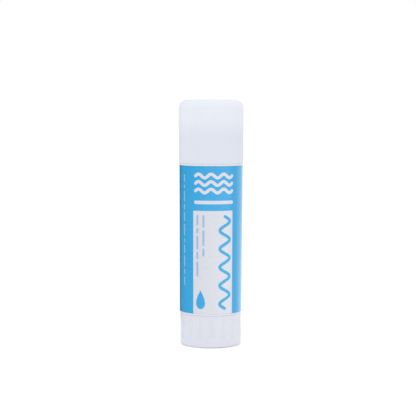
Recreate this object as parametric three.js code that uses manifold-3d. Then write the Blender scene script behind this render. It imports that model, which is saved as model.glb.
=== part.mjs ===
// A twist-up glue stick. A fluted knob turns a lead screw inside a labelled barrel, the screw lifts a
// carrier that is keyed to the barrel, and the carrier holds the glue. A push-on cap closes the mouth.
// Millimetres, +Z up. The origin is the middle of the face it stands on, and the label's front faces -Y.

import * as THREE from "three";
import { mergeVertices } from "three/addons/utils/BufferGeometryUtils.js";
import Module from "manifold-3d";

const wasm = await Module();
wasm.setup();

// Clearances
const RUNNING_GAP = 0.3; // between pieces that turn or slide on each other
const SEAM_GAP = 0.25; // between the knob's rim and the barrel
const CAP_GAP = 0.2; // between the cap's rim and the barrel's shoulder
const PRESS_GAP = 0.15; // round the screw's foot in its socket
const FILM_GAP = 0.05; // adhesive under the label

// Barrel
const BORE_RADIUS = 10.9;
const NECK_WALL = 1.0;
const NECK_LENGTH = 14.2;
const NECK_BEAD = 0.15; // ring that the cap grips
const NECK_BEAD_HEIGHT = 4.0; // of the ring's middle above the shoulder
const NECK_BEAD_WIDTH = 1.2;
const MOUTH_CHAMFER = 0.4;
const SHOULDER_WIDTH = 1.05; // step from the neck out to the body
const BODY_LENGTH = 61.0;
const BODY_DRAFT = THREE.MathUtils.degToRad(0.2); // the body narrows towards the knob
const BODY_EDGE = 0.25;
const FLOOR_THICKNESS = 1.4;
const FLOOR_DROP = 0.65; // of the floor's underside below the body's lower edge
const STUB_DEPTH = 5.25; // ring under the floor that the knob clips round
const STUB_WALL = 1.2;
const KEY_COUNT = 4; // ribs in the bore that keep the carrier from turning
const KEY_WIDTH = 1.4;
const KEY_HEIGHT = 0.6;
const KEY_SETBACK = 8.4; // of the ribs' upper ends below the mouth

// Label
const LABEL_RECESS = 0.2;
const LABEL_THICKNESS = 0.12;
const LABEL_LOWER_MARGIN = 0.65;
const LABEL_UPPER_MARGIN = 0.75;
const LABEL_SLIT = 0.4; // where its two ends meet at the back

// Knob
const KNOB_HEIGHT = 13.0;
const KNOB_STEP = 0.29; // of its side in from the barrel's lower edge
const KNOB_WALL = 1.07;
const KNOB_FLOOR = 1.6;
const KNOB_FOOT_FILLET = 0.9;
const KNOB_RIM_CHAMFER = 0.2;
const FOOT_RECESS = 0.5;
const FOOT_RECESS_RADIUS = 8.0;
const FLUTE_COUNT = 16;
const FLUTE_RADIUS = 3.2;
const FLUTE_DEPTH = 0.35;
const FLUTE_END = 0.8; // height over which a flute runs out
const FLUTE_LOWER_BAND = 2.9; // plain bands below and above the flutes
const FLUTE_UPPER_BAND = 1.6;
const FLUTE_TURN = THREE.MathUtils.degToRad(2.5); // of the front flute from -Y
const HUB_WALL = 1.8; // round the socket for the screw's foot
const SOCKET_FLOOR = 1.8; // under the socket, above the knob's floor
const CLIP_HEIGHT = 0.8; // bead in the knob that holds it on the stub
const CLIP_DEPTH = 0.5;
const CLIP_RISE = 1.5; // of the bead's middle above the stub's lower end
const WEB_COUNT = 4;
const WEB_THICKNESS = 1.1;

// Lead screw
const PITCH = 5.0;
const SCREW_CORE_RADIUS = 2.4;
const SCREW_RADIUS = 3.4;
const THREAD_CREST = 1.0;
const THREAD_FLANK = 0.8;
const JOURNAL_RADIUS = 3.6;
const COLLAR_RADIUS = 6.5;
const COLLAR_THICKNESS = 1.0;
const FOOT_FLATS = 5.6; // across the hexagonal foot
const TIP_CONE = 1.0;

// Carrier and glue
const CARRIER_HEIGHT = 11.5;
const CARRIER_WALL = 1.0;
const CARRIER_FLOOR = 1.6;
const NUT_WALL = 1.5;
const NUT_LENGTH = 8.0;
const VANE_COUNT = 4; // walls that lock the glue in the carrier
const VANE_THICKNESS = 1.2;
const VANE_HEIGHT = 4.0;
const GLUE_BELOW_SEAL = 0.8;
const GLUE_OVER_TIP = 2.0;
const GLUE_EDGE = 0.9;

// Cap
const CAP_WALL = 0.96;
const CAP_ROOF = 1.35;
const CAP_HEADROOM = 10.2; // from the mouth to the underside of the roof
const CAP_FILLET = 3.3;
const CAP_DRAFT = THREE.MathUtils.degToRad(0.15); // the cap narrows towards its top
const CAP_RIM_EDGE = 0.25;
const GATE_RADIUS = 1.7; // dimple in the top where the mould was filled
const GATE_DEPTH = 0.18;
const SEAL_WALL = 0.8; // collar under the roof that plugs the mouth
const SEAL_DEPTH = 1.4;
const SEAL_CHAMFER = 0.3;

// Facets
const SEGMENTS = 48; // round a turned piece
const ARC_STEPS = 3; // half the steps of a rounded edge
const FLUTE_SEGMENTS = 30;
const FLUTE_ARC_STEPS = 1;
const THREAD_STEPS = 18; // to a turn of the screw
const SINK = 0.2; // how far joined solids reach into each other

// Radii that follow from the sizes above
const neckRadius = BORE_RADIUS + NECK_WALL;
const bodyTopRadius = neckRadius + SHOULDER_WIDTH;
const bodyRadiusAt = (z) => bodyTopRadius - (BODY_LENGTH - z) * Math.tan(BODY_DRAFT);
const knobRadius = bodyRadiusAt(0) - KNOB_STEP;
const knobBoreRadius = knobRadius - KNOB_WALL;
const stubRadius = knobBoreRadius - RUNNING_GAP;
const footRadius = FOOT_FLATS / Math.sqrt(3);
const hubRadius = footRadius + PRESS_GAP + HUB_WALL;
const slidingRadius = BORE_RADIUS - RUNNING_GAP;
const cupRadius = slidingRadius - CARRIER_WALL;
const screwBoreRadius = SCREW_RADIUS + RUNNING_GAP;
const nutRadius = screwBoreRadius + NUT_WALL;
const keyTipRadius = BORE_RADIUS - KEY_HEIGHT;
const capBoreRadius = neckRadius + RUNNING_GAP;

// Heights above the table
const bodyZ = KNOB_HEIGHT + SEAM_GAP;
const stubEndZ = bodyZ - STUB_DEPTH;
const floorUnderZ = bodyZ - FLOOR_DROP;
const floorTopZ = floorUnderZ + FLOOR_THICKNESS;
const hubTopZ = floorUnderZ - RUNNING_GAP;
const socketEndZ = KNOB_FLOOR + SOCKET_FLOOR;
const screwZ = floorTopZ + RUNNING_GAP; // underside of the screw's collar
const carrierZ = floorTopZ + RUNNING_GAP;
const shoulderZ = bodyZ + BODY_LENGTH;
const mouthZ = shoulderZ + NECK_LENGTH;
const glueTopZ = mouthZ - SEAL_DEPTH - GLUE_BELOW_SEAL;
const screwTipZ = glueTopZ - GLUE_OVER_TIP - RUNNING_GAP;
const capZ = shoulderZ + CAP_GAP;
const clipZ = stubEndZ + CLIP_RISE;

// Closed three.js geometry as a solid that can be joined and cut
function solidFrom(geometry) {
  const bare = geometry.clone();
  bare.deleteAttribute("normal");
  bare.deleteAttribute("uv");
  const merged = mergeVertices(bare, 1e-4);
  const corners = merged.index.array;
  const triangles = [];
  for (let i = 0; i < corners.length; i += 3) {
    const [a, b, c] = [corners[i], corners[i + 1], corners[i + 2]];
    if (a !== b && b !== c && c !== a) triangles.push(a, b, c);
  }
  return new wasm.Manifold(
    new wasm.Mesh({
      numProp: 3,
      vertProperties: new Float32Array(merged.attributes.position.array),
      triVerts: new Uint32Array(triangles),
    }),
  );
}

// A solid back to three.js geometry
function geometryFrom(solid) {
  const mesh = solid.getMesh();
  const geometry = new THREE.BufferGeometry();
  geometry.setAttribute("position", new THREE.BufferAttribute(mesh.vertProperties, 3));
  geometry.setIndex(new THREE.BufferAttribute(mesh.triVerts, 1));
  geometry.computeVertexNormals();
  return geometry;
}

// Turns an outline of radius against height about Z
function turned(outline, segments = SEGMENTS, arcSteps = ARC_STEPS) {
  const profile = outline.getPoints(arcSteps);
  return solidFrom(new THREE.LatheGeometry(profile, segments).rotateX(Math.PI / 2));
}

// A plain disc or round bar
function bar(radius, from, to, segments = SEGMENTS) {
  const outline = new THREE.Path();
  outline.moveTo(0, from).lineTo(radius, from).lineTo(radius, to).lineTo(0, to);
  return turned(outline, segments);
}

// A block that stands across the front, from one radius to another, at an angle about Z
function radialBlock(width, inner, outer, from, to, angle) {
  const block = new THREE.BoxGeometry(width, outer - inner, to - from);
  block.translate(0, -(inner + outer) / 2, (from + to) / 2);
  return solidFrom(block.rotateZ(angle));
}

// Evenly spaced copies about Z, from a function of the angle
function around(count, makeAt, start = 0) {
  const copies = [];
  for (let i = 0; i < count; i++) copies.push(makeAt(start + (i * 2 * Math.PI) / count));
  return copies;
}

const join = (solid, parts) => parts.reduce((whole, part) => whole.add(part), solid);
const cut = (solid, parts) => parts.reduce((whole, part) => whole.subtract(part), solid);

// A left-handed screw of trapezoidal thread, grown by a clearance where it is used to cut a nut.
// Its surface is a grid that follows the helix: one row for each corner of the thread, and the row
// after a full turn is the next one up. The rows run past both ends and are trimmed flat.
function leftHandScrew(from, to, startZ, clearance = 0) {
  const crest = THREAD_CREST + 2 * clearance;
  const root = PITCH - crest - 2 * THREAD_FLANK;
  const corners = [
    { rise: 0, radius: SCREW_CORE_RADIUS + clearance },
    { rise: root, radius: SCREW_CORE_RADIUS + clearance },
    { rise: root + THREAD_FLANK, radius: SCREW_RADIUS + clearance },
    { rise: root + THREAD_FLANK + crest, radius: SCREW_RADIUS + clearance },
  ];
  const firstTurn = Math.floor((from - startZ) / PITCH) - 1;
  const turns = Math.ceil((to - startZ) / PITCH) + 1 - firstTurn;
  const rows = corners.length * turns;
  const positions = [];
  for (let step = 0; step <= THREAD_STEPS; step++) {
    const angle = (-2 * Math.PI * step) / THREAD_STEPS;
    for (let row = 0; row <= rows; row++) {
      const { rise, radius } = corners[row % corners.length];
      const turn = firstTurn + Math.floor(row / corners.length) + step / THREAD_STEPS;
      positions.push(radius * Math.sin(angle), -radius * Math.cos(angle), startZ + turn * PITCH + rise);
    }
  }
  const lowPole = positions.length / 3;
  positions.push(0, 0, startZ + (firstTurn - 1) * PITCH);
  positions.push(0, 0, startZ + (firstTurn + turns + 2) * PITCH);
  const highPole = lowPole + 1;
  const at = (step, row) => step * (rows + 1) + row;
  const faces = [];
  for (let step = 0; step < THREAD_STEPS; step++) {
    for (let row = 0; row < rows; row++) {
      faces.push(at(step, row), at(step, row + 1), at(step + 1, row));
      faces.push(at(step + 1, row), at(step, row + 1), at(step + 1, row + 1));
    }
    faces.push(lowPole, at(step, 0), at(step + 1, 0));
    faces.push(highPole, at(step + 1, rows), at(step, rows));
  }
  // The last step meets the first one a turn higher, so one turn of rows is left open at each end
  for (let row = 0; row < corners.length; row++) {
    faces.push(lowPole, at(0, row + 1), at(0, row));
    faces.push(highPole, at(THREAD_STEPS, rows - row - 1), at(THREAD_STEPS, rows - row));
  }
  const grid = new THREE.BufferGeometry();
  grid.setAttribute("position", new THREE.Float32BufferAttribute(positions, 3));
  grid.setIndex(faces);
  return solidFrom(grid).intersect(bar(2 * SCREW_RADIUS, from, to, THREAD_STEPS));
}

// Barrel, with its own zero at the body's lower edge
function barrelSolid() {
  const floorUnder = -FLOOR_DROP;
  const floorTop = floorUnder + FLOOR_THICKNESS;
  const holeRadius = JOURNAL_RADIUS + RUNNING_GAP;
  const mouth = BODY_LENGTH + NECK_LENGTH;
  const clipMiddle = clipZ - bodyZ;
  const grooveHalf = CLIP_HEIGHT / 2 + RUNNING_GAP;
  const grooveRadius = knobBoreRadius - CLIP_DEPTH - RUNNING_GAP;
  const labelFrom = LABEL_LOWER_MARGIN - FILM_GAP;
  const labelTo = BODY_LENGTH - LABEL_UPPER_MARGIN + FILM_GAP;
  const beadFrom = BODY_LENGTH + NECK_BEAD_HEIGHT - NECK_BEAD_WIDTH / 2;
  const beadTo = beadFrom + NECK_BEAD_WIDTH;
  const outline = new THREE.Path();
  outline.moveTo(holeRadius, floorUnder);
  outline.lineTo(stubRadius - STUB_WALL, floorUnder);
  outline.lineTo(stubRadius - STUB_WALL, -STUB_DEPTH);
  outline.lineTo(stubRadius, -STUB_DEPTH);
  outline.lineTo(stubRadius, clipMiddle - grooveHalf);
  outline.lineTo(grooveRadius, clipMiddle - grooveHalf);
  outline.lineTo(grooveRadius, clipMiddle + grooveHalf);
  outline.lineTo(stubRadius, clipMiddle + grooveHalf);
  outline.lineTo(stubRadius, 0);
  outline.lineTo(bodyRadiusAt(0) - BODY_EDGE, 0);
  outline.lineTo(bodyRadiusAt(0), BODY_EDGE);
  outline.lineTo(bodyRadiusAt(labelFrom), labelFrom);
  outline.lineTo(bodyRadiusAt(labelFrom) - LABEL_RECESS, labelFrom);
  outline.lineTo(bodyRadiusAt(labelTo) - LABEL_RECESS, labelTo);
  outline.lineTo(bodyRadiusAt(labelTo), labelTo);
  outline.lineTo(bodyTopRadius, BODY_LENGTH - BODY_EDGE);
  outline.lineTo(bodyTopRadius - BODY_EDGE, BODY_LENGTH);
  outline.lineTo(neckRadius, BODY_LENGTH);
  outline.lineTo(neckRadius, beadFrom);
  outline.lineTo(neckRadius + NECK_BEAD, beadFrom + NECK_BEAD_WIDTH / 3);
  outline.lineTo(neckRadius + NECK_BEAD, beadTo - NECK_BEAD_WIDTH / 3);
  outline.lineTo(neckRadius, beadTo);
  outline.lineTo(neckRadius, mouth - MOUTH_CHAMFER);
  outline.lineTo(neckRadius - MOUTH_CHAMFER, mouth);
  outline.lineTo(BORE_RADIUS, mouth);
  outline.lineTo(BORE_RADIUS, floorTop);
  outline.lineTo(holeRadius, floorTop);
  outline.closePath();
  const keyEnd = mouth - KEY_SETBACK;
  const keyAt = (angle) =>
    radialBlock(KEY_WIDTH, keyTipRadius, BORE_RADIUS + SINK, floorTop - SINK, keyEnd, angle);
  return join(turned(outline), around(KEY_COUNT, keyAt));
}

// Label, a film wrapped round the body, with its zero at the body's lower edge
function labelSolid() {
  const from = LABEL_LOWER_MARGIN;
  const to = BODY_LENGTH - LABEL_UPPER_MARGIN;
  const inset = LABEL_RECESS - FILM_GAP;
  const inner = (z) => bodyRadiusAt(z) - inset;
  const outline = new THREE.Path();
  outline.moveTo(inner(from), from);
  outline.lineTo(inner(from) + LABEL_THICKNESS, from);
  outline.lineTo(inner(to) + LABEL_THICKNESS, to);
  outline.lineTo(inner(to), to);
  outline.closePath();
  const slit = radialBlock(LABEL_SLIT, cupRadius, 2 * bodyTopRadius, from - SINK, to + SINK, Math.PI);
  return turned(outline).subtract(slit);
}

// Knob, standing on the table
function knobSolid() {
  const clipRadius = knobBoreRadius - CLIP_DEPTH;
  const outline = new THREE.Path();
  outline.moveTo(0, FOOT_RECESS);
  outline.lineTo(FOOT_RECESS_RADIUS, FOOT_RECESS);
  outline.lineTo(FOOT_RECESS_RADIUS + FOOT_RECESS, 0);
  outline.absarc(knobRadius - KNOB_FOOT_FILLET, KNOB_FOOT_FILLET, KNOB_FOOT_FILLET, -Math.PI / 2, 0, false);
  outline.lineTo(knobRadius, KNOB_HEIGHT - KNOB_RIM_CHAMFER);
  outline.lineTo(knobRadius - KNOB_RIM_CHAMFER, KNOB_HEIGHT);
  outline.lineTo(knobBoreRadius, KNOB_HEIGHT);
  outline.lineTo(knobBoreRadius, clipZ + CLIP_HEIGHT / 2);
  outline.lineTo(clipRadius, clipZ + CLIP_HEIGHT / 6);
  outline.lineTo(clipRadius, clipZ - CLIP_HEIGHT / 6);
  outline.lineTo(knobBoreRadius, clipZ - CLIP_HEIGHT / 2);
  outline.lineTo(knobBoreRadius, KNOB_FLOOR);
  outline.lineTo(hubRadius, KNOB_FLOOR);
  outline.lineTo(hubRadius, hubTopZ);
  outline.lineTo(0, hubTopZ);
  const webTop = stubEndZ - RUNNING_GAP;
  const webAt = (angle) =>
    radialBlock(WEB_THICKNESS, hubRadius - SINK, knobBoreRadius + SINK, KNOB_FLOOR - SINK, webTop, angle);
  const socket = hexagonalBar(FOOT_FLATS + 2 * PRESS_GAP, socketEndZ, hubTopZ + SINK);
  const webbed = join(turned(outline), around(WEB_COUNT, webAt));
  return cut(webbed, [socket, ...around(FLUTE_COUNT, fluteAt, FLUTE_TURN)]);
}

// The round cutter that scoops one flute out of the knob's side
function fluteAt(angle) {
  const from = FLUTE_LOWER_BAND;
  const to = KNOB_HEIGHT - FLUTE_UPPER_BAND;
  const shank = FLUTE_RADIUS - FLUTE_DEPTH;
  const outline = new THREE.Path();
  outline.moveTo(0, from).lineTo(shank, from);
  outline.absellipse(shank, from + FLUTE_END, FLUTE_DEPTH, FLUTE_END, -Math.PI / 2, 0, false);
  outline.absellipse(shank, to - FLUTE_END, FLUTE_DEPTH, FLUTE_END, 0, Math.PI / 2, false);
  outline.lineTo(0, to);
  const distance = knobRadius - FLUTE_DEPTH + FLUTE_RADIUS;
  return turned(outline, FLUTE_SEGMENTS, FLUTE_ARC_STEPS).translate([
    distance * Math.sin(angle),
    -distance * Math.cos(angle),
    0,
  ]);
}

// A six-sided bar along Z
function hexagonalBar(flats, from, to) {
  return bar(flats / Math.sqrt(3), from, to, 6);
}

// Lead screw, with its zero at the underside of its collar
function screwSolid() {
  const tip = screwTipZ - screwZ;
  const footTop = hubTopZ + PRESS_GAP - screwZ;
  const footEnd = socketEndZ + PRESS_GAP - screwZ;
  const collar = new THREE.Path();
  collar.moveTo(0, footTop);
  collar.lineTo(JOURNAL_RADIUS, footTop);
  collar.lineTo(JOURNAL_RADIUS, 0);
  collar.lineTo(COLLAR_RADIUS, 0);
  collar.lineTo(COLLAR_RADIUS, COLLAR_THICKNESS / 2);
  collar.lineTo(JOURNAL_RADIUS, COLLAR_THICKNESS);
  collar.lineTo(0, COLLAR_THICKNESS);
  const point = new THREE.Path();
  point.moveTo(0, 0).lineTo(SCREW_RADIUS, 0).lineTo(SCREW_RADIUS, tip - TIP_CONE);
  point.lineTo(SCREW_CORE_RADIUS - TIP_CONE, tip).lineTo(0, tip);
  const thread = leftHandScrew(COLLAR_THICKNESS - SINK, tip, 0).intersect(turned(point, THREAD_STEPS));
  const foot = hexagonalBar(FOOT_FLATS, footEnd, footTop + SINK);
  return join(turned(collar), [thread, foot]);
}

// Heights in the carrier's own frame, whose zero is its lower rim
const nutFrom = COLLAR_THICKNESS + RUNNING_GAP;
const nutTo = nutFrom + NUT_LENGTH;
const cupFloor = nutFrom + CARRIER_FLOOR;
const vaneTop = cupFloor + VANE_HEIGHT;
const vaneTurn = Math.PI / KEY_COUNT; // the vanes stand midway between the keys

// Carrier, a cup with the screw's nut in its middle
function carrierSolid() {
  const outline = new THREE.Path();
  outline.moveTo(0, nutFrom);
  outline.lineTo(cupRadius, nutFrom);
  outline.lineTo(cupRadius, 0);
  outline.lineTo(slidingRadius, 0);
  outline.lineTo(slidingRadius, CARRIER_HEIGHT);
  outline.lineTo(cupRadius, CARRIER_HEIGHT);
  outline.lineTo(cupRadius, cupFloor);
  outline.lineTo(nutRadius, cupFloor);
  outline.lineTo(nutRadius, nutTo);
  outline.lineTo(0, nutTo);
  const vaneAt = (angle) =>
    radialBlock(VANE_THICKNESS, nutRadius - SINK, cupRadius + SINK, cupFloor - SINK, vaneTop, angle);
  const notchWidth = KEY_WIDTH + 2 * RUNNING_GAP;
  const notchAt = (angle) =>
    radialBlock(notchWidth, keyTipRadius - RUNNING_GAP, 2 * BORE_RADIUS, -SINK, CARRIER_HEIGHT + SINK, angle);
  const nutThread = leftHandScrew(-SINK, nutTo + SINK, screwZ - carrierZ, RUNNING_GAP);
  const cup = join(turned(outline), around(VANE_COUNT, vaneAt, vaneTurn));
  return cut(cup, [nutThread, ...around(KEY_COUNT, notchAt)]);
}

// Glue, cast in the barrel round the screw and the carrier, with the carrier's zero
function glueSolid() {
  const under = cupFloor + RUNNING_GAP;
  const top = glueTopZ - carrierZ;
  const boreEnd = screwTipZ - carrierZ + RUNNING_GAP;
  const rimTop = CARRIER_HEIGHT + RUNNING_GAP;
  const outline = new THREE.Path();
  outline.moveTo(nutRadius + RUNNING_GAP, under);
  outline.lineTo(cupRadius - RUNNING_GAP, under);
  outline.lineTo(cupRadius - RUNNING_GAP, rimTop);
  outline.lineTo(slidingRadius, rimTop);
  outline.absarc(slidingRadius - GLUE_EDGE, top - GLUE_EDGE, GLUE_EDGE, 0, Math.PI / 2, false);
  outline.lineTo(0, top);
  outline.lineTo(0, boreEnd);
  outline.lineTo(screwBoreRadius, boreEnd);
  outline.lineTo(screwBoreRadius, nutTo + RUNNING_GAP);
  outline.lineTo(nutRadius + RUNNING_GAP, nutTo + RUNNING_GAP);
  outline.closePath();
  const slotWidth = VANE_THICKNESS + 2 * RUNNING_GAP;
  const slotTop = vaneTop + RUNNING_GAP;
  const slotAt = (angle) => radialBlock(slotWidth, nutRadius - SINK, cupRadius, under - SINK, slotTop, angle);
  const grooveWidth = KEY_WIDTH + 2 * RUNNING_GAP;
  const grooveTop = mouthZ - KEY_SETBACK - carrierZ + RUNNING_GAP;
  const grooveAt = (angle) =>
    radialBlock(grooveWidth, keyTipRadius - RUNNING_GAP, 2 * BORE_RADIUS, under, grooveTop, angle);
  return cut(turned(outline), [
    ...around(VANE_COUNT, slotAt, vaneTurn),
    ...around(KEY_COUNT, grooveAt),
  ]);
}

// Cap, with its zero at its rim
function capSolid() {
  const roof = mouthZ + CAP_HEADROOM - capZ;
  const top = roof + CAP_ROOF;
  const rimRadius = capBoreRadius + CAP_WALL;
  const topRadius = rimRadius - top * Math.tan(CAP_DRAFT);
  const sealEnd = mouthZ - SEAL_DEPTH - capZ;
  const sealBore = slidingRadius - SEAL_WALL;
  const roomBySeal = capBoreRadius - slidingRadius;
  const innerFillet = Math.min(CAP_FILLET - CAP_WALL, roomBySeal - RUNNING_GAP);
  const outline = new THREE.Path();
  outline.moveTo(0, roof);
  outline.lineTo(sealBore, roof);
  outline.lineTo(sealBore, sealEnd);
  outline.lineTo(slidingRadius - SEAL_CHAMFER, sealEnd);
  outline.lineTo(slidingRadius, sealEnd + SEAL_CHAMFER);
  outline.lineTo(slidingRadius, roof);
  outline.absarc(capBoreRadius - innerFillet, roof - innerFillet, innerFillet, Math.PI / 2, 0, true);
  outline.lineTo(capBoreRadius, CAP_RIM_EDGE);
  outline.lineTo(capBoreRadius + CAP_RIM_EDGE, 0);
  outline.lineTo(rimRadius - CAP_RIM_EDGE, 0);
  outline.lineTo(rimRadius, CAP_RIM_EDGE);
  outline.absarc(topRadius - CAP_FILLET, top - CAP_FILLET, CAP_FILLET, 0, Math.PI / 2, false);
  outline.lineTo(GATE_RADIUS + GATE_DEPTH, top);
  outline.lineTo(GATE_RADIUS, top - GATE_DEPTH);
  outline.lineTo(0, top - GATE_DEPTH);
  return turned(outline);
}

// Materials
const plastic = (color, roughness) => new THREE.MeshStandardMaterial({ color, roughness, metalness: 0 });
const MATERIALS = {
  cap: plastic(0xe6eaf4, 0.45),
  barrel: plastic(0xe2e4ee, 0.4),
  label: plastic(0x38a6de, 0.3),
  knob: plastic(0xdfe2ec, 0.45),
  screw: plastic(0xe8e9ec, 0.4),
  carrier: plastic(0xe8e9ec, 0.4),
  glue: plastic(0xf0efe6, 0.55),
};

// Adds a solid to a group as a named mesh
function place(group, name, solid) {
  const mesh = new THREE.Mesh(geometryFrom(solid), MATERIALS[name]);
  mesh.name = name;
  group.add(mesh);
  return mesh;
}

// The assembly: one group for each set of pieces that moves as one
const glueStick = new THREE.Group();

const turningBase = new THREE.Group();
place(turningBase, "knob", knobSolid());
place(turningBase, "screw", screwSolid()).position.z = screwZ;

const body = new THREE.Group();
body.position.z = bodyZ;
place(body, "barrel", barrelSolid());
place(body, "label", labelSolid());

const carriage = new THREE.Group();
carriage.position.z = carrierZ;
place(carriage, "carrier", carrierSolid());
place(carriage, "glue", glueSolid());

const closure = new THREE.Group();
closure.position.z = capZ;
place(closure, "cap", capSolid());

glueStick.add(turningBase, body, carriage, closure);

export default glueStick;
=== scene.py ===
"""Looks of a capped twist-up glue stick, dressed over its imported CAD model.

Metres, +Z up. The front of the label faces -Y, and angles about Z are counted from there towards +X.
"""

import math

import bmesh
import bpy
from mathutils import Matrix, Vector, geometry


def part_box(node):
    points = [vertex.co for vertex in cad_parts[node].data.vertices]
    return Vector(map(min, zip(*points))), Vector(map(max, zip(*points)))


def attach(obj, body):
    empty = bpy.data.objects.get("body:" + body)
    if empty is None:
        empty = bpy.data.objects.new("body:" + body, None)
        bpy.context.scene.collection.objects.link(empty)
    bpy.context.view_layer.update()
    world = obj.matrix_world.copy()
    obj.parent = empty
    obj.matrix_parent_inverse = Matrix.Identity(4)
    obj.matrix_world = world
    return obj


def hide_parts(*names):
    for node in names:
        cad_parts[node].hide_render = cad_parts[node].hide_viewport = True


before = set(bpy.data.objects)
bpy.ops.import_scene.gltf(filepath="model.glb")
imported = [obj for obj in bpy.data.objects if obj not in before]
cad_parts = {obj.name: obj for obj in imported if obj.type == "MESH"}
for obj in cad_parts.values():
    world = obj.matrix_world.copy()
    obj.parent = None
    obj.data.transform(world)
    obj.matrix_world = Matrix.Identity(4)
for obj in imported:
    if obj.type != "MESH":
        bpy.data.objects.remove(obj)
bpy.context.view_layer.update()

MM = 0.001
FULL_TURN = 2 * math.pi

# Sizes that differ by less than this are the same
SAME_SIZE = 0.001 * MM

# Places that the CAD gives
_, CAP_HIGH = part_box("cap")
BARREL_LOW, BARREL_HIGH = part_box("barrel")
LABEL_LOW, LABEL_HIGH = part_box("label")
_, KNOB_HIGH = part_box("knob")
GLUE_LOW, GLUE_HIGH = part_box("glue")
CARRIER_LOW, CARRIER_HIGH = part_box("carrier")

# Sizes inside the nodes, as the CAD has them
RUNNING_GAP = 0.3 * MM
BORE_RADIUS = 10.9 * MM
NECK_RADIUS = 11.9 * MM
NECK_LENGTH = 14.2 * MM
NECK_BEAD = 0.15 * MM
NECK_BEAD_HEIGHT = 4.0 * MM
NECK_BEAD_WIDTH = 1.2 * MM
BODY_LENGTH = 61.0 * MM
BODY_DRAFT = math.tan(math.radians(0.2))
BODY_EDGE = 0.25 * MM
LABEL_RECESS = 0.2 * MM
LABEL_THICKNESS = 0.12 * MM
LABEL_SLIT = 0.4 * MM
FILM_GAP = 0.05 * MM
FLOOR_THICKNESS = 1.4 * MM
FLOOR_DROP = 0.65 * MM
FLOOR_HOLE_RADIUS = 3.9 * MM
STUB_WALL = 1.2 * MM
KEY_COUNT = 4
KEY_WIDTH = 1.4 * MM
KEY_HEIGHT = 0.6 * MM
KEY_SETBACK = 8.4 * MM
KNOB_WALL = 1.07 * MM
KNOB_FLOOR = 1.6 * MM
KNOB_FOOT_FILLET = 0.9 * MM
CLIP_HEIGHT = 0.8 * MM
CLIP_DEPTH = 0.5 * MM
CLIP_RISE = 1.5 * MM
HUB_RADIUS = 5.18 * MM
SOCKET_SIDES = 6
SOCKET_FLATS = 5.9 * MM
SOCKET_END = 3.4 * MM
FOOT_RECESS = 0.5 * MM
FOOT_RECESS_RADIUS = 8.0 * MM
FLUTE_COUNT = 16
FLUTE_DEPTH = 0.35 * MM
FLUTE_WIDTH = 2.9 * MM
FLUTE_LOWER_BAND = 2.9 * MM
FLUTE_UPPER_BAND = 1.6 * MM
FLUTE_TURN = math.radians(2.5)
CAP_ROOF = 1.35 * MM
CAP_WALL = 0.96 * MM
CAP_FILLET = 3.3 * MM
CAP_INNER_FILLET = 1.3 * MM
CAP_DRAFT = math.tan(math.radians(0.15))
GATE_RADIUS = 1.7 * MM
GATE_DEPTH = 0.18 * MM
SEAL_WALL = 0.8 * MM
SEAL_DEPTH = 1.4 * MM
SCREW_BORE_RADIUS = 3.7 * MM
SCREW_COLLAR = 1.0 * MM
CARRIER_WALL = 1.0 * MM
NUT_WALL = 1.5 * MM
NUT_LENGTH = 8.0 * MM
GLUE_OVER_TIP = 2.0 * MM
GLUE_EDGE = 0.9 * MM

# The plastics let light into the seams between the pieces, so they are drawn finer than the CAD's gaps
VISIBLE_SEAM = 0.05 * MM
SEAM_EDGE = 0.12 * MM

# The flutes have softer sides and ends than in the CAD
FLUTE_SIDE_POWER = 1.5
FLUTE_LOWER_END = 1.0 * MM
FLUTE_UPPER_END = 2.4 * MM

# Roundings of moulded edges
CRISP_EDGE = 0.1 * MM
PLAIN_EDGE = 0.2 * MM
SOFT_EDGE = 0.3 * MM
ROUND_EDGE = 0.4 * MM

# Fineness of the meshes
COLUMNS = 192
KNOB_COLUMNS = 320
KEYED_COLUMNS = 288
LABEL_COLUMN_TURN = math.radians(3)
FILLET_STEPS = 6
CAP_FILLET_STEPS = 8
FLUTE_END_ROWS = 8
STROKE_END_STEPS = 8
STEPS_PER_WAVE = 28
DROP_STEPS = 40
FLOOR_SIDES = 96
GLOSS_WALL_COLUMNS = 144

# Places that follow from the sizes
SHOULDER = BARREL_HIGH.z - NECK_LENGTH
BODY_BOTTOM = SHOULDER - BODY_LENGTH
BODY_TOP_RADIUS = BARREL_HIGH.x
SLIDING_RADIUS = BORE_RADIUS - RUNNING_GAP
SEAL_END = BARREL_HIGH.z - SEAL_DEPTH
KEY_TOP = BARREL_HIGH.z - KEY_SETBACK
GROOVE_TOP = KEY_TOP + RUNNING_GAP
CLIP_MIDDLE = BARREL_LOW.z + CLIP_RISE
KNOB_BORE = KNOB_HIGH.x - KNOB_WALL
SOCKET_RADIUS = SOCKET_FLATS / math.sqrt(3)
FLUTES_LOW = FLUTE_LOWER_BAND
FLUTES_HIGH = KNOB_HIGH.z - FLUTE_UPPER_BAND


def body_radius(height):
    """The barrel's side at a height: it narrows towards the knob."""
    return BODY_TOP_RADIUS - (SHOULDER - height) * BODY_DRAFT


# Mesh building


def rounded(corners, steps=FILLET_STEPS):
    """An outline of (radius, height, fillet) corners, with each fillet as an arc."""
    points = []
    for i, (radius, height, fillet) in enumerate(corners):
        here = Vector((radius, height))
        if not fillet:
            points.append(here)
            continue
        to_last = (Vector(corners[i - 1][:2]) - here).normalized()
        to_next = (Vector(corners[(i + 1) % len(corners)][:2]) - here).normalized()
        half = to_last.angle(to_next) / 2
        centre = here + (to_last + to_next).normalized() * (fillet / math.sin(half))
        start = here + to_last * (fillet / math.tan(half)) - centre
        end = here + to_next * (fillet / math.tan(half)) - centre
        first = math.atan2(start.y, start.x)
        sweep = (math.atan2(end.y, end.x) - first + math.pi) % FULL_TURN - math.pi
        for step in range(steps + 1):
            angle = first + sweep * step / steps
            points.append(centre + fillet * Vector((math.cos(angle), math.sin(angle))))
    return points


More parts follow.
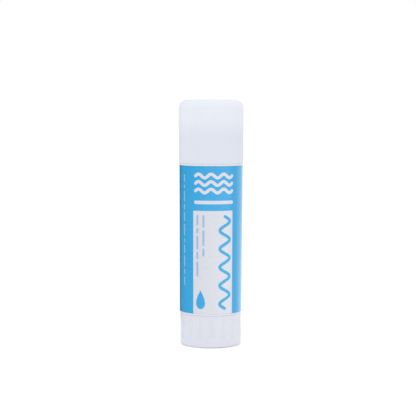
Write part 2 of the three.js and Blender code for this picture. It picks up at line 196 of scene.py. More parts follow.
def on_cylinder(angle, radius, height):
    """A point at an angle from the front."""
    return Vector((radius * math.sin(angle), -radius * math.cos(angle), height))


def outward(place):
    """The way straight out from the stick's axis."""
    return Vector((place.x, place.y, 0)).normalized()


def arc_to_nearest(angle, count, radius):
    """The arc from an angle to the nearest of a count of even places, the first of them at the front."""
    pitch = FULL_TURN / count
    off_place = (angle / pitch + 0.5) % 1 - 0.5
    return abs(off_place) * pitch * radius


def add_turned(build, outline, closed=False, columns=COLUMNS, reshape=None):
    """Adds a surface of revolution to a bmesh. reshape gives the radius at an angle, radius and height."""
    rings = []
    for point in outline:
        if point.x < SAME_SIZE:
            rings.append([build.verts.new((0, 0, point.y))])
            continue
        ring = []
        for column in range(columns):
            angle = FULL_TURN * column / columns
            radius = reshape(angle, point.x, point.y) if reshape else point.x
            ring.append(build.verts.new(on_cylinder(angle, radius, point.y)))
        rings.append(ring)
    pairs = list(zip(rings, rings[1:]))
    if closed:
        pairs.append((rings[-1], rings[0]))
    for first, second in pairs:
        for column in range(columns):
            after = (column + 1) % columns
            corners = [
                first[column % len(first)],
                first[after % len(first)],
                second[after % len(second)],
                second[column % len(second)],
            ]
            build.faces.new(dict.fromkeys(corners))


def as_mesh(build, name):
    """The mesh of a bmesh, which is freed."""
    mesh = bpy.data.meshes.new(name)
    build.to_mesh(mesh)
    build.free()
    return mesh


def add_object(name, data):
    """A new object in the scene."""
    thing = bpy.data.objects.new(name, data)
    bpy.context.scene.collection.objects.link(thing)
    return thing


def finished(build, name, body, replaced, materials):
    """Turns a bmesh into a smooth piece that rides on a body in place of a CAD node."""
    bmesh.ops.recalc_face_normals(build, faces=build.faces)
    for face in build.faces:
        face.smooth = True
    mesh = as_mesh(build, name)
    for material in materials:
        mesh.materials.append(material)
    piece = add_object(name, mesh)
    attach(piece, body)
    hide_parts(replaced)
    return piece


def add_turned_piece(name, outline, body, material_slot, replaced, material, **turning):
    """A finished piece of revolution. Its broad faces stay flat beside their small fillets."""
    build = bmesh.new()
    add_turned(build, outline, **turning)
    piece = finished(build, name, body, replaced, [material])
    piece.modifiers.new("broad_faces", "WEIGHTED_NORMAL").keep_sharp = True


# Shader nodes

# Nearly all values of a noise texture lie in this range
NOISE_LOW, NOISE_HIGH = 0.3, 0.7


def add_node(tree, kind, inputs=None, **settings):
    """A shader node with its settings, and its inputs as values or as sockets to link from."""
    node = tree.nodes.new(kind)
    for key, value in settings.items():
        setattr(node, key, value)
    for key, value in (inputs or {}).items():
        if isinstance(value, bpy.types.NodeSocket):
            tree.links.new(value, node.inputs[key])
        else:
            node.inputs[key].default_value = value
    return node


def new_material(name):
    """A material with one surface shader, its node tree and that shader."""
    material = bpy.data.materials.new(name)
    material.use_nodes = True
    tree = material.node_tree
    return material, tree, tree.nodes["Principled BSDF"]


def combined(tree, operation, first, second):
    """The outcome of an operation on two values."""
    return add_node(tree, "ShaderNodeMath", {0: first, 1: second}, operation=operation).outputs["Value"]


def ranged(tree, value, start, end, first, last, **settings):
    """A value that runs from first to last while another runs from start to end."""
    return add_node(
        tree,
        "ShaderNodeMapRange",
        {"Value": value, "From Min": start, "From Max": end, "To Min": first, "To Max": last},
        **settings,
    ).outputs["Result"]


def noise(tree, size, detail, stretch=(1, 1, 1)):
    """A noise value whose features are about that size in metres, stretched along some axes."""
    where = add_node(tree, "ShaderNodeTexCoord").outputs["Object"]
    scale = [1 / (size * s) for s in stretch]
    mapped = add_node(tree, "ShaderNodeMapping", {"Vector": where, "Scale": scale})
    return add_node(
        tree, "ShaderNodeTexNoise", {"Vector": mapped.outputs["Vector"], "Scale": 1.0, "Detail": detail}
    ).outputs["Fac"]


def between(tree, value, low, high):
    """A noise value brought to a range."""
    return ranged(tree, value, NOISE_LOW, NOISE_HIGH, low, high)


def tint(tree, value, dark, light):
    """A colour between two by a noise value."""
    ramp = add_node(tree, "ShaderNodeValToRGB", {"Fac": value})
    low, high = ramp.color_ramp.elements
    low.position = NOISE_LOW
    low.color = (*dark, 1)
    high.position = NOISE_HIGH
    high.color = (*light, 1)
    return ramp.outputs["Color"]


def set_bump(tree, shader, height, distance):
    """Raises the surface by a height value, by that distance in metres."""
    bump = add_node(tree, "ShaderNodeBump", {"Height": height, "Distance": distance})
    tree.links.new(bump.outputs["Normal"], shader.inputs["Normal"])


# Materials


def flow_clouds(tree):
    """The faint clouding that the melt leaves in a moulded piece."""
    return noise(tree, size=9 * MM, detail=3.0, stretch=(1, 1, 2.5))


def moulded_plastic(name, dark, light, roughness, glow, glow_reach, grain, specular=0.3):
    """Moulded polyolefin: faint clouding, uneven gloss, fine tool grain and a little light inside it."""
    gloss_spread = 0.04
    material, tree, shader = new_material(name)
    colour = tint(tree, flow_clouds(tree), dark, light)
    tree.links.new(colour, shader.inputs["Base Color"])
    patches = noise(tree, size=2.5 * MM, detail=4.0)
    gloss = between(tree, patches, roughness - gloss_spread, roughness + gloss_spread)
    tree.links.new(gloss, shader.inputs["Roughness"])
    set_bump(tree, shader, noise(tree, size=0.3 * MM, detail=3.0), grain)
    shader.inputs["Subsurface Weight"].default_value = glow
    shader.inputs["Subsurface Radius"].default_value = (1, 1, 1.1)
    shader.inputs["Subsurface Scale"].default_value = glow_reach
    shader.inputs["IOR"].default_value = 1.49
    shader.inputs["Specular IOR Level"].default_value = specular
    return material


def frosted_plastic():
    """The cap's natural polypropylene, with painted light: lighter where the cap is hollow, darker where the
    neck is inside.
    """
    fade_below, fade_above = 3.5 * MM, 7 * MM
    material = moulded_plastic(
        "frosted_cap",
        dark=(0.76, 0.786, 0.875),
        light=(0.78, 0.804, 0.89),
        roughness=0.46,
        glow=0.2,
        glow_reach=1.2 * MM,
        grain=0.02 * MM,
        specular=0.05,
    )
    tree = material.node_tree
    colour_in = tree.nodes["Principled BSDF"].inputs["Base Color"]
    # Painted shade and light: the base colour is the cap shaded by the neck inside it, the paler tint is
    # light through the hollow top.
    painted_shade_colour = colour_in.links[0].from_socket
    painted_light_colour = tint(tree, flow_clouds(tree), dark=(0.825, 0.858, 0.94), light=(0.845, 0.876, 0.952))
    place = add_node(tree, "ShaderNodeTexCoord").outputs["Object"]
    height = add_node(tree, "ShaderNodeSeparateXYZ", {"Vector": place}).outputs["Z"]
    # The painted light grows with height round the lower end of the seal collar.
    share = ranged(
        tree, height, SEAL_END - fade_below, SEAL_END + fade_above, 0.0, 1.0, interpolation_type="SMOOTHSTEP"
    )
    painted_light_by_height = add_node(tree, "ShaderNodeMix", {"Factor": share, "A": painted_shade_colour, "B": painted_light_colour}, data_type="RGBA")
    tree.links.new(painted_light_by_height.outputs["Result"], colour_in)
    return material


def printed_film(name, dark, light):
    """One ink of the label: nearly even colour under a clear, slightly wavy gloss."""
    smoothest, roughest = 0.24, 0.3
    waviness = 0.006 * MM
    material, tree, shader = new_material(name)
    colour = tint(tree, noise(tree, size=5 * MM, detail=2.0, stretch=(1, 1, 3)), dark, light)
    tree.links.new(colour, shader.inputs["Base Color"])
    gloss = between(tree, noise(tree, size=4 * MM, detail=3.0), smoothest, roughest)
    tree.links.new(gloss, shader.inputs["Roughness"])
    set_bump(tree, shader, noise(tree, size=9 * MM, detail=0.0, stretch=(1, 1, 2)), waviness)
    shader.inputs["Coat Weight"].default_value = 1.0
    shader.inputs["Coat Roughness"].default_value = 0.2
    return material


def waxy_glue():
    """The glue: soft light inside it, a greasy gloss and fine drag lines."""
    dark, light = (0.862, 0.848, 0.785), (0.886, 0.872, 0.812)
    smoothest, roughest = 0.38, 0.55
    drag_depth = 0.03 * MM
    material, tree, shader = new_material("waxy_glue")
    colour = tint(tree, noise(tree, size=3 * MM, detail=3.0, stretch=(1, 1, 5)), dark, light)
    tree.links.new(colour, shader.inputs["Base Color"])
    gloss = between(tree, noise(tree, size=1.2 * MM, detail=4.0), smoothest, roughest)
    tree.links.new(gloss, shader.inputs["Roughness"])
    set_bump(tree, shader, noise(tree, size=0.5 * MM, detail=4.0, stretch=(1, 1, 9)), drag_depth)
    shader.inputs["Subsurface Weight"].default_value = 0.5
    shader.inputs["Subsurface Radius"].default_value = (1, 0.9, 0.7)
    shader.inputs["Subsurface Scale"].default_value = 2.5 * MM
    return material


CAP_PLASTIC = frosted_plastic()
BARREL_PLASTIC = moulded_plastic(
    "white_barrel",
    dark=(0.84, 0.838, 0.91),
    light=(0.854, 0.852, 0.92),
    roughness=0.36,
    glow=0.05,
    glow_reach=0.5 * MM,
    grain=0.008 * MM,
)
KNOB_PLASTIC = moulded_plastic(
    "white_knob",
    dark=(0.77, 0.785, 0.875),
    light=(0.79, 0.804, 0.895),
    roughness=0.4,
    glow=0.3,
    glow_reach=1.5 * MM,
    grain=0.01 * MM,
)
INNER_PLASTIC = moulded_plastic(
    "natural_inner",
    dark=(0.72, 0.73, 0.75),
    light=(0.77, 0.78, 0.8),
    roughness=0.38,
    glow=0.2,
    glow_reach=2 * MM,
    grain=0.006 * MM,
)
GLUE = waxy_glue()
BLUE_INK = printed_film("blue_film", dark=(0.02, 0.408, 0.8), light=(0.024, 0.422, 0.82))
WHITE_INK = printed_film("white_film", dark=(0.737, 0.755, 0.825), light=(0.752, 0.768, 0.84))
FINE_INK = printed_film("fine_film", dark=(0.37, 0.51, 0.76), light=(0.39, 0.53, 0.775))
FAINT_INK = printed_film("faint_film", dark=(0.3, 0.56, 0.79), light=(0.33, 0.58, 0.805))


# Pieces


def make_cap():
    """A two-walled shell: outer skirt, roof with its gate mark, and the seal collar inside."""
    rim = CAP_HIGH.x
    bore = rim - CAP_WALL
    low = SHOULDER + VISIBLE_SEAM
    top = CAP_HIGH.z
    top_radius = rim - (top - low) * CAP_DRAFT
    roof = top - CAP_ROOF
    seal_bore = SLIDING_RADIUS - SEAL_WALL
    seal_lead_in = 0.35 * MM
    gate = top - GATE_DEPTH
    gate_rim = 0.15 * MM
    nub_radius = 0.45 * MM
    nub_top = top - GATE_DEPTH / 3
    nub_edge = 0.05 * MM
    outline = rounded(
        [
            (0, roof, 0),
            (seal_bore, roof, ROUND_EDGE),
            (seal_bore, SEAL_END, PLAIN_EDGE),
            (SLIDING_RADIUS, SEAL_END, seal_lead_in),
            (SLIDING_RADIUS, roof, PLAIN_EDGE),
            (bore, roof, CAP_INNER_FILLET),
            (bore, low, SEAM_EDGE),
            (rim, low, SEAM_EDGE),
            (top_radius, top, CAP_FILLET),
            (GATE_RADIUS + GATE_DEPTH, top, gate_rim),
            (GATE_RADIUS, gate, CRISP_EDGE),
            (nub_radius, gate, nub_edge),
            (nub_radius, nub_top, nub_edge),
            (0, nub_top, 0),
        ],
        steps=CAP_FILLET_STEPS,
    )
    add_turned_piece(
        "cap_shell",
        outline,
        body="cap",
        material_slot="cap_plastic",
        replaced="cap",
        material=CAP_PLASTIC,
    )


def key_share(angle, radius, half_width):
    """1 on the line of a key in the bore, 0 between the keys, with a soft edge."""
    edge_width = 0.3 * MM
    across = arc_to_nearest(angle, KEY_COUNT, radius)
    return min(1, max(0, (half_width - across) / edge_width + 0.5))


def key_rib(angle, radius, height):
    """The bore's radius where a key stands on its wall."""
    if abs(radius - BORE_RADIUS) > SAME_SIZE or height > KEY_TOP + SAME_SIZE:
        return radius
    return radius - KEY_HEIGHT * key_share(angle, radius, KEY_WIDTH / 2)


def stub_corners():
    """The underside of the barrel's floor and the ring that the knob clips round."""
    floor_under = BODY_BOTTOM - FLOOR_DROP
    end = BARREL_LOW.z
    radius = KNOB_BORE - RUNNING_GAP
    bore = radius - STUB_WALL
    root_fillet = 0.15 * MM
    groove_radius = radius - CLIP_DEPTH
    groove_from = CLIP_MIDDLE - CLIP_HEIGHT / 2 - RUNNING_GAP
    groove_to = CLIP_MIDDLE + CLIP_HEIGHT / 2 + RUNNING_GAP
    return [
        (FLOOR_HOLE_RADIUS, floor_under, CRISP_EDGE),
        (bore, floor_under, SOFT_EDGE),
        (bore, end, SOFT_EDGE),
        (radius, end, SOFT_EDGE),
        (radius, groove_from, CRISP_EDGE),
        (groove_radius, groove_from, CRISP_EDGE),
        (groove_radius, groove_to, CRISP_EDGE),
        (radius, groove_to, CRISP_EDGE),
        (radius, BODY_BOTTOM, root_fillet),
    ]


def body_corners():
    """The barrel's body, with the recess that the label lies in."""
    label_from = LABEL_LOW.z - FILM_GAP
    label_to = LABEL_HIGH.z + FILM_GAP
    recess_edge = 0.06 * MM
    return [
        (body_radius(BODY_BOTTOM), BODY_BOTTOM, BODY_EDGE),
        (body_radius(label_from), label_from, recess_edge),
        (body_radius(label_from) - LABEL_RECESS, label_from, 0),
        (body_radius(label_to) - LABEL_RECESS, label_to, 0),
        (body_radius(label_to), label_to, recess_edge),
        (BODY_TOP_RADIUS, SHOULDER, SEAM_EDGE),
    ]


def neck_corners():
    """The barrel's neck with the ring that the cap grips, and its mouth."""
    mouth = BARREL_HIGH.z
    bead_radius = NECK_RADIUS + NECK_BEAD
    bead_from = SHOULDER + NECK_BEAD_HEIGHT - NECK_BEAD_WIDTH / 2
    bead_to = bead_from + NECK_BEAD_WIDTH
    bead_slope = NECK_BEAD_WIDTH / 3
    return [
        (NECK_RADIUS, SHOULDER, PLAIN_EDGE),
        (NECK_RADIUS, bead_from, SOFT_EDGE),
        (bead_radius, bead_from + bead_slope, SOFT_EDGE),
        (bead_radius, bead_to - bead_slope, SOFT_EDGE),
        (NECK_RADIUS, bead_to, SOFT_EDGE),
        (NECK_RADIUS, mouth, ROUND_EDGE),
        (BORE_RADIUS, mouth, PLAIN_EDGE),
    ]


def bore_corners():
    """The barrel's bore, from the upper ends of the keys down to the floor."""
    floor_top = BODY_BOTTOM - FLOOR_DROP + FLOOR_THICKNESS
    key_slope = 0.2 * MM
    return [
        (BORE_RADIUS, KEY_TOP + key_slope, 0),
        (BORE_RADIUS, KEY_TOP, 0),
        (BORE_RADIUS, floor_top, 0),
        (FLOOR_HOLE_RADIUS, floor_top, CRISP_EDGE),
    ]


def make_barrel():
    """Stub and floor, body with the label's recess, neck with its grip ring, and bore with its keys."""
    add_turned_piece(
        "barrel_tube",
        rounded(stub_corners() + body_corners() + neck_corners() + bore_corners()),
        body="barrel",
        material_slot="barrel_plastic",
        replaced="barrel",
        material=BARREL_PLASTIC,
        closed=True,
        columns=KEYED_COLUMNS,
        reshape=key_rib,
    )


def knob_shape(angle, radius, height):
    """The knob's radius where the flutes scoop its side and where its socket is six-sided."""
    if abs(radius - SOCKET_RADIUS) < SAME_SIZE:
        side_turn = FULL_TURN / SOCKET_SIDES
        return SOCKET_FLATS / 2 / math.cos(angle % side_turn - side_turn / 2)
    if radius < KNOB_HIGH.x - SAME_SIZE or not FLUTES_LOW < height < FLUTES_HIGH:
        return radius
    off_middle = arc_to_nearest(angle - FLUTE_TURN, FLUTE_COUNT, radius)
    across = min(1, off_middle / (FLUTE_WIDTH / 2))
    scoop = (1 - across**2) ** FLUTE_SIDE_POWER
    from_end = min(1, (height - FLUTES_LOW) / FLUTE_LOWER_END, (FLUTES_HIGH - height) / FLUTE_UPPER_END)
    return radius - FLUTE_DEPTH * scoop * math.sin(from_end * math.pi / 2)


def flute_rows():
    """Heights of the mesh's rows through the ends of the flutes."""
    shares = [step / FLUTE_END_ROWS for step in range(FLUTE_END_ROWS + 1)]
    lower = [FLUTES_LOW + FLUTE_LOWER_END * share for share in shares]
    upper = [FLUTES_HIGH - FLUTE_UPPER_END * (1 - share) for share in shares]
    return lower + upper


def make_knob():
    """A cup with scooped flutes between plain bands, standing on a ring."""
    side = KNOB_HIGH.x
    top = BODY_BOTTOM - VISIBLE_SEAM
    clip_radius = KNOB_BORE - CLIP_DEPTH
    clip_foot = CLIP_HEIGHT / 2
    clip_crest = CLIP_HEIGHT / 6
    hub_top = BODY_BOTTOM - FLOOR_DROP - RUNNING_GAP
    outline = rounded(
        [
            (0, FOOT_RECESS, 0),
            (FOOT_RECESS_RADIUS, FOOT_RECESS, SOFT_EDGE),
            (FOOT_RECESS_RADIUS + FOOT_RECESS, 0, SOFT_EDGE),
            (side, 0, KNOB_FOOT_FILLET),
            *[(side, row, 0) for row in flute_rows()],
            (side, top, SEAM_EDGE),
            (KNOB_BORE, top, SEAM_EDGE),
            (KNOB_BORE, CLIP_MIDDLE + clip_foot, CRISP_EDGE),
            (clip_radius, CLIP_MIDDLE + clip_crest, CRISP_EDGE),
            (clip_radius, CLIP_MIDDLE - clip_crest, CRISP_EDGE),
            (KNOB_BORE, CLIP_MIDDLE - clip_foot, CRISP_EDGE),
            (KNOB_BORE, KNOB_FLOOR, ROUND_EDGE),
            (HUB_RADIUS, KNOB_FLOOR, ROUND_EDGE),
            (HUB_RADIUS, hub_top, SOFT_EDGE),
            (SOCKET_RADIUS, hub_top, 0),
            (SOCKET_RADIUS, SOCKET_END, 0),
            (0, SOCKET_END, 0),
        ]
    )
    add_turned_piece(
        "knob_cup",
        outline,
        body="knob",
        material_slot="knob_plastic",
        replaced="knob",
        material=KNOB_PLASTIC,
        columns=KNOB_COLUMNS,
        reshape=knob_shape,
    )


def key_groove(angle, radius, height):
    """The glue's radius where a key has cast a groove in its side."""
    if radius < SLIDING_RADIUS - SAME_SIZE or height > GROOVE_TOP + SAME_SIZE:
        return radius
    return radius - KEY_HEIGHT * key_share(angle, radius, KEY_WIDTH / 2 + RUNNING_GAP)


def groove_rows():
    """Heights of the mesh's rows round the upper ends of the grooves."""
    row_gap = 0.4 * MM
    slope = 0.3 * MM
    return [GROOVE_TOP - 2 * row_gap, GROOVE_TOP - row_gap, GROOVE_TOP, GROOVE_TOP + slope]


def make_glue():
    """The cast stick, with a slightly dished end, the bore for the screw and the keys' grooves."""
    top = GLUE_HIGH.z
    bore_end = top - GLUE_OVER_TIP
    rim_top = CARRIER_HIGH.z + RUNNING_GAP
    cup_radius = SLIDING_RADIUS - CARRIER_WALL - RUNNING_GAP
    nut_radius = SCREW_BORE_RADIUS + NUT_WALL + RUNNING_GAP
    nut_top = CARRIER_LOW.z + SCREW_COLLAR + NUT_LENGTH + 2 * RUNNING_GAP
    dish_rim = SLIDING_RADIUS * 0.75
    dish_foot = SLIDING_RADIUS * 0.35
    dish = top - 0.25 * MM
    dish_fillet = 1.5 * MM
    outline = rounded(
        [
            (0, bore_end, 0),
            (SCREW_BORE_RADIUS, bore_end, 0),
            (SCREW_BORE_RADIUS, nut_top, 0),
            (nut_radius, nut_top, 0),
            (nut_radius, GLUE_LOW.z, 0),
            (cup_radius, GLUE_LOW.z, 0),
            (cup_radius, rim_top, 0),
            (SLIDING_RADIUS, rim_top, 0),
            *[(SLIDING_RADIUS, row, 0) for row in groove_rows()],
            (SLIDING_RADIUS, top, GLUE_EDGE),
            (dish_rim, top, dish_fillet),
            (dish_foot, dish, dish_fillet),
            (0, dish, 0),
        ]
    )
    add_turned_piece(
        "glue_stick",
        outline,
        body="glue_carrier",
        material_slot="glue_mass",
        replaced="glue",
        material=GLUE,
        columns=KEYED_COLUMNS,
        reshape=key_groove,
    )


# Label print, drawn flat in millimetres: across is the arc from the front, up is the height above the table

LABEL_RADIUS_MM = LABEL_HIGH.x / MM
LABEL_BOTTOM_MM = LABEL_LOW.z / MM
LABEL_TOP_MM = LABEL_HIGH.z / MM
LABEL_END_MM = math.pi * LABEL_RADIUS_MM - LABEL_SLIT / MM / 2


def arc_mm(degrees):
    """How far across the film an angle is."""
    return math.radians(degrees) * LABEL_RADIUS_MM


def box_outline(left, right, low, high):
    """The corners of a rectangle."""
    return [Vector(corner) for corner in ((left, low), (right, low), (right, high), (left, high))]


def round_end(centre, start):
    """The points of a half circle round a centre, after its start and before its end."""
    spoke = start - centre
    points = []
    for step in range(1, STROKE_END_STEPS):
        angle = math.pi * step / STROKE_END_STEPS
        across = spoke.x * math.cos(angle) - spoke.y * math.sin(angle)
        up = spoke.x * math.sin(angle) + spoke.y * math.cos(angle)
        points.append(centre + Vector((across, up)))
    return points


def stroke_outline(path, width):
    """The outline of a pen stroke along a path, with round ends."""
    right_side, left_side = [], []
    for i, point in enumerate(path):
        ahead = path[min(i + 1, len(path) - 1)] - path[max(i - 1, 0)]
        rightward = Vector((ahead.y, -ahead.x)).normalized() * (width / 2)
        right_side.append(point + rightward)
        left_side.append(point - rightward)
    far_end = round_end(path[-1], right_side[-1])
    near_end = round_end(path[0], left_side[0])
    return right_side + far_end + left_side[::-1] + near_end


def dash(left, right, low, high):
    """A bar with round ends along its longer side."""
    half = min(right - left, high - low) / 2
    path = [Vector((left + half, low + half)), Vector((right - half, high - half))]
    return stroke_outline(path, 2 * half)


def wave(start, end, reach, waves, width):
    """A bead of glue that weaves from one point to another."""
    along = end - start
    sideways = Vector((-along.y, along.x)).normalized() * reach
    count = waves * STEPS_PER_WAVE
    path = []
    for step in range(count + 1):
        share = step / count
        path.append(start + along * share + sideways * math.sin(FULL_TURN * waves * share))
    return stroke_outline(path, width)


def drop(middle, low, radius, height):
    """A drop of glue: a round foot drawn up to a point."""
    taper = 1.2
    outline = []
    for step in range(DROP_STEPS):
        angle = FULL_TURN * step / DROP_STEPS
        across = radius * math.sin(angle) * math.sin(angle / 2) ** taper
        outline.append(Vector((middle + across, low + height * (1 + math.cos(angle)) / 2)))
    return outline[::-1]


def dash_column(left, width, high, lengths):
    """A column of upright dashes of these lengths, from the top down."""
    gap = 0.9
    outlines = []
    for length in lengths:
        outlines.append(dash(left, left + width, high - length, high))
        high -= length + gap
    return outlines


def label_print():
    """Outlines and inks in the order that they lie on each other."""
    shapes = []

    def lay(ink, *outlines):
        """Prints outlines over what is there."""
        shapes.extend((outline, ink) for outline in outlines)

    lay(BLUE_INK, box_outline(-LABEL_END_MM, LABEL_END_MM, LABEL_BOTTOM_MM, LABEL_TOP_MM))
    lay(WHITE_INK, box_outline(left=arc_mm(-33.6), right=arc_mm(42), low=LABEL_BOTTOM_MM, high=55.6))
    beads_left, beads_right = arc_mm(-29), arc_mm(40.5)
    for bead_height in (63.6, 66.6, 69.6):
        start, end = Vector((beads_left, bead_height)), Vector((beads_right, bead_height))
        lay(WHITE_INK, wave(start, end, reach=0.75, waves=3, width=1.25))
    lay(WHITE_INK, dash(left=arc_mm(-31.8), right=arc_mm(43.3), low=58.3, high=59.7))
    tall_middle, tall_low, tall_high = arc_mm(26), 16.2, 53.3
    start, end = Vector((tall_middle, tall_low)), Vector((tall_middle, tall_high))
    lay(BLUE_INK, wave(start, end, reach=2.2, waves=5, width=1.3))
    lay(FINE_INK, *dash_column(left=arc_mm(-27), width=0.85, high=54.0, lengths=(4.4, 2.2, 5.6, 3.0, 6.2)))
    lay(FINE_INK, *dash_column(left=arc_mm(-15.5), width=0.85, high=54.0, lengths=(5.2, 6.4, 3.4)))
    lay(BLUE_INK, drop(middle=arc_mm(-19), low=16.0, radius=2.6, height=7.6))
    faint_lengths = (3.2, 1.6, 4.4, 2.4, 3.8, 5.0, 1.8, 3.4, 4.6, 2.2, 3.6)
    lay(FAINT_INK, *dash_column(left=arc_mm(-58), width=0.75, high=70.0, lengths=faint_lengths))
    return shapes


def cut_by_print(shapes):
    """The film's points, its triangles between the edges of the print, and the shapes that each lies in."""
    triangles_inside = 1
    same_point_mm = 1e-5
    with_sources = True
    points, outlines, lines = [], [], []
    for outline, _ in shapes:
        outlines.append(list(range(len(points), len(points) + len(outline))))
        points += outline
    column_mm = LABEL_COLUMN_TURN * LABEL_RADIUS_MM
    columns = math.floor(LABEL_END_MM / column_mm)
    for column in range(-columns, columns + 1):
        across = column * column_mm
        lines.append((len(points), len(points) + 1))
        points += [Vector((across, LABEL_BOTTOM_MM)), Vector((across, LABEL_TOP_MM))]
    film_points, _, triangles, _, _, sources = geometry.delaunay_2d_cdt(
        points, lines, outlines, triangles_inside, same_point_mm, with_sources
    )
    return film_points, triangles, sources


def wrapped(point):
    """A point of the flat print on the outside of the film, which follows the body's draft."""
    height = point.y * MM
    radius = body_radius(height) - LABEL_RECESS + FILM_GAP + LABEL_THICKNESS
    return on_cylinder(point.x / LABEL_RADIUS_MM, radius, height)


def make_label():
    """The film, cut along the edges of its print, with each ink on its own faces."""
    shapes = label_print()
    inks = list(dict.fromkeys(ink for _, ink in shapes))
    film_points, triangles, sources = cut_by_print(shapes)
    build = bmesh.new()
    skin = [build.verts.new(wrapped(point)) for point in film_points]
    for corners, lying_in in zip(triangles, sources):
        face = build.faces.new([skin[i] for i in corners])
        _, top_ink = shapes[max(lying_in)]
        face.material_index = inks.index(top_ink)
    front = build.faces[:] + build.edges[:]
    back = bmesh.ops.extrude_face_region(build, geom=front, use_keep_orig=True)["geom"]
    for vertex in [part for part in back if isinstance(part, bmesh.types.BMVert)]:
        vertex.co -= outward(vertex.co) * LABEL_THICKNESS
    piece = finished(
        build, "label_film", body="barrel", replaced="label", materials=inks
    )
    normals = []
    for vertex in piece.data.vertices:
        side = 1 if vertex.index < len(film_points) else -1
        normals.append(outward(vertex.co) * side)
    piece.data.normals_split_custom_set_from_vertices(normals)


def dress_inner_nodes():
    """The screw and the carrier keep their CAD shapes and get the natural plastic."""
    for name in ("screw", "carrier"):
        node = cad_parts[name]
        node.data.materials.clear()
        node.data.materials.append(INNER_PLASTIC)


# Studio


def behind_object(tree):
    """1 for rays that show the background: straight to the camera, mirrored or through clear plastic."""
    rays = add_node(tree, "ShaderNodeLightPath").outputs
    plain_or_mirrored = combined(tree, "MAXIMUM", rays["Is Camera Ray"], rays["Is Glossy Ray"])
    return combined(tree, "MAXIMUM", plain_or_mirrored, rays["Is Transmission Ray"])


def make_floor():
    """A wide pale floor that looks white, with the object's shadow on it."""
    radius = 6.0
    lift_to_white = 0.22
    build = bmesh.new()
    bmesh.ops.create_circle(build, cap_ends=True, radius=radius, segments=FLOOR_SIDES)
    mesh = as_mesh(build, "floor")
    material, tree, shader = new_material("pale_floor")
    shader.inputs["Base Color"].default_value = (0.9, 0.9, 0.9, 1)
    shader.inputs["Roughness"].default_value = 0.9
    shader.inputs["Specular IOR Level"].default_value = 0.0
    shader.inputs["Emission Color"].default_value = (1, 1, 1, 1)
    lift = combined(tree, "MULTIPLY", behind_object(tree), lift_to_white)
    tree.links.new(lift, shader.inputs["Emission Strength"])
    mesh.materials.append(material)
    add_object("floor", mesh)


def make_world():
    """Soft light all round, a little stronger from the left and weaker from above, and a white backdrop."""
    left, right = 1.05, 1.02
    level, overhead = 1.05, 0.88
    white = 1.0
    world = bpy.data.worlds.new("studio")
    bpy.context.scene.world = world
    world.use_nodes = True
    tree = world.node_tree
    background = tree.nodes["Background"]
    way = add_node(tree, "ShaderNodeTexCoord").outputs["Generated"]
    parts = add_node(tree, "ShaderNodeSeparateXYZ", {"Vector": way}).outputs
    across = ranged(tree, parts["X"], -1.0, 1.0, left, right)
    upward = ranged(tree, parts["Z"], 0.0, 1.0, level, overhead)
    light = combined(tree, "MULTIPLY", across, upward)
    strength = add_node(
        tree, "ShaderNodeMix", {"Factor": behind_object(tree), "A": light, "B": white}, data_type="FLOAT"
    )
    background.inputs["Color"].default_value = (1, 1, 1, 1)
    tree.links.new(strength.outputs["Result"], background.inputs["Strength"])


def make_softbox():
    """A broad lamp high over the front, a little to the left."""
    place, target = Vector((-0.15, -0.5, 1.1)), Vector((0, 0, 0.05))
    light = bpy.data.lights.new("overhead_softbox", "AREA")
    light.shape = "RECTANGLE"
    light.size = 0.9
    light.size_y = 0.9
    light.energy = 0.9
    lamp = add_object("overhead_softbox", light)
    lamp.location = place
    lamp.rotation_euler = (target - place).to_track_quat("-Z", "Y").to_euler()


def eased(keys, place):
    """A value that runs smoothly through (place, value) keys."""
    for (start, first), (end, last) in zip(keys, keys[1:]):
        if place <= end:
            share = (place - start) / (end - start)
            return first + (last - first) * share * share * (3 - 2 * share)


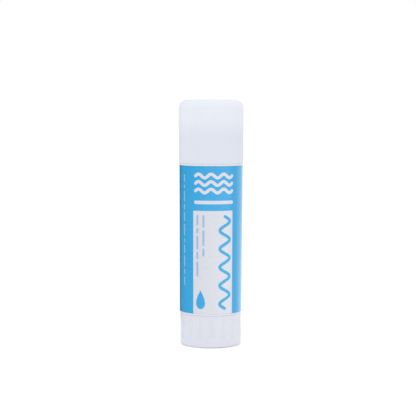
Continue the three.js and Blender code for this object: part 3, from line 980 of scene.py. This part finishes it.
def gloss_wall_mesh():
    """The wall and its glow: dim on the left, bright behind and on the right, with one dip on the right."""
    glow_by_degrees = [
        (-180, 1.0),
        (-165, 0.06),
        (-70, 0.14),
        (0, 0.58),
        (58, 1.0),
        (94, 0.4),
        (122, 0.85),
        (150, 0.95),
        (180, 1.0),
    ]
    radius_height_share = [(0.05, 0.001, 1.3), (0.30, 0.001, 1.15), (0.36, 0.05, 0.85), (0.36, 0.5, 0.85)]
    rows = len(radius_height_share)
    vertices, glows, faces = [], [], []
    for column in range(GLOSS_WALL_COLUMNS):
        degrees = 360 * column / GLOSS_WALL_COLUMNS - 180
        glow = eased(glow_by_degrees, degrees)
        for radius, height, share in radius_height_share:
            vertices.append(on_cylinder(math.radians(degrees), radius, height))
            glows.append(glow * share)
        first = column * rows
        after = (column + 1) % GLOSS_WALL_COLUMNS * rows
        for row in range(rows - 1):
            faces.append((first + row, first + row + 1, after + row + 1, after + row))
    mesh = bpy.data.meshes.new("gloss_wall")
    mesh.from_pydata(vertices, [], faces)
    mesh.attributes.new("glow", "FLOAT", "POINT").data.foreach_set("value", glows)
    return mesh


def make_gloss_wall():
    """A round wall that only shows in the gloss of the pieces."""
    mesh = gloss_wall_mesh()
    material, tree, shader = new_material("gloss_wall")
    shader.inputs["Base Color"].default_value = (0, 0, 0, 1)
    shader.inputs["Specular IOR Level"].default_value = 0.0
    shader.inputs["Emission Color"].default_value = (1, 1, 1, 1)
    glow = add_node(tree, "ShaderNodeAttribute", attribute_name="glow").outputs["Fac"]
    tree.links.new(glow, shader.inputs["Emission Strength"])
    mesh.materials.append(material)
    wall = add_object("gloss_wall", mesh)
    wall.visible_camera = False
    wall.visible_diffuse = False
    wall.visible_transmission = False
    wall.visible_shadow = False


def make_camera():
    """The photograph's view: a long lens a little above the cap's middle, tilted down."""
    tilt, roll = 0.0757, -0.0027
    data = bpy.data.cameras.new("camera")
    data.sensor_width = 36.0
    data.lens = 108.57
    data.clip_start = 0.01
    data.clip_end = 20.0
    camera = add_object("camera", data)
    camera.location = (-1.32 * MM, -512.1 * MM, 94.7 * MM)
    camera.rotation_euler = (math.pi / 2 - tilt, roll, 0)
    bpy.context.scene.camera = camera


bpy.context.scene.view_settings.view_transform = "Standard"
make_camera()
make_cap()
make_barrel()
make_label()
make_knob()
make_glue()
dress_inner_nodes()
make_floor()
make_world()
make_gloss_wall()
make_softbox()
